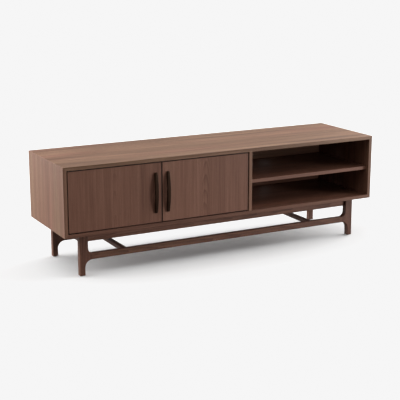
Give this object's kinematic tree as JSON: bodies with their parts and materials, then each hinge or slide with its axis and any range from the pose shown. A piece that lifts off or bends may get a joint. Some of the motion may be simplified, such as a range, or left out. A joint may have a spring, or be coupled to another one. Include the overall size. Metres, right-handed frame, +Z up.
{
  "type": "tv stand with doors",
  "caption": "Low walnut media console: hinged doors with bow pulls, an open shelved bay, mitred case and a jointed base frame with curved legs and rails.",
  "frame": {"origin": "on the floor, under the middle of the case; the pulls stand 12.5 mm in front of the case, so the middle of the whole box lies 6 mm nearer the front", "axes": "+X to the right along the front, +Y to the back, +Z up"},
  "size_m": [1.8, 0.5005, 0.56],
  "materials": {
    "walnut_veneer": "satin lacquered American walnut veneer",
    "walnut_back": "satin lacquered walnut-faced ply",
    "walnut_solid": "satin lacquered solid walnut",
    "dark_stained_wood": "near-black stained wood, low sheen",
    "beech": "raw beech",
    "birch_ply": "raw birch plywood",
    "brass": "turned brass",
    "nylon": "natural nylon",
    "black_plastic": "fine-textured black plastic",
    "magnet": "nickel-plated magnet",
    "zinc_steel": "zinc-plated steel"
  },
  "bodies": {
    "case": {"back_panel": "walnut_back", "back_panel_screws": "zinc_steel", "base_bolt_washers": "zinc_steel", "base_bolts": "zinc_steel", "base_dowels": "beech", "bottom_panel": "walnut_veneer", "cable_grommets": "black_plastic", "catch_housing": "black_plastic", "catch_magnets": "magnet", "catch_screws": "zinc_steel", "corner_block_screws": "zinc_steel", "corner_blocks": "beech", "door_bay_shelf": "walnut_veneer", "door_bay_shelf_pins": "zinc_steel", "foot_glides": "nylon", "front_apron": "walnut_solid", "front_left_leg": "walnut_solid", "front_lower_rail": "walnut_solid", "front_right_leg": "walnut_solid", "hinge_case_screws": "zinc_steel", "left_cross_rail": "walnut_solid", "left_hinge_case_plates": "zinc_steel", "left_hinge_pins": "zinc_steel", "left_hinge_washers": "nylon", "left_side_apron": "walnut_solid", "left_side_panel": "walnut_veneer", "mitre_splines": "birch_ply", "open_bay_shelf": "walnut_veneer", "open_bay_shelf_pins": "zinc_steel", "partition_dowels": "beech", "partition_panel": "walnut_veneer", "rear_apron": "walnut_solid", "rear_left_leg": "walnut_solid", "rear_lower_rail": "walnut_solid", "rear_right_leg": "walnut_solid", "right_cross_rail": "walnut_solid", "right_hinge_case_plates": "zinc_steel", "right_hinge_pins": "zinc_steel", "right_hinge_washers": "nylon", "right_side_apron": "walnut_solid", "right_side_panel": "walnut_veneer", "threaded_inserts": "brass", "top_panel": "walnut_veneer"},
    "left_door": {"left_door_hinge_bushes": "brass", "left_door_hinge_plates": "zinc_steel", "left_door_hinge_screws": "zinc_steel", "left_door_panel": "walnut_veneer", "left_door_pull": "dark_stained_wood", "left_door_pull_screws": "zinc_steel", "left_door_strike_plate": "zinc_steel", "left_door_strike_screw": "zinc_steel"},
    "right_door": {"right_door_hinge_bushes": "brass", "right_door_hinge_plates": "zinc_steel", "right_door_hinge_screws": "zinc_steel", "right_door_panel": "walnut_veneer", "right_door_pull": "dark_stained_wood", "right_door_pull_screws": "zinc_steel", "right_door_strike_plate": "zinc_steel", "right_door_strike_screw": "zinc_steel"}
  },
  "joints": [
    {"name": "left_door_hinge", "type": "hinge", "parent": "case", "child": "left_door", "pos_m": [-0.8595, -0.232, 0.386], "axis": [0, 0, -1], "range_deg": [0, 120]},
    {"name": "right_door_hinge", "type": "hinge", "parent": "case", "child": "right_door", "pos_m": [0.0955, -0.232, 0.386], "axis": [0, 0, 1], "range_deg": [0, 120]}
  ]
}
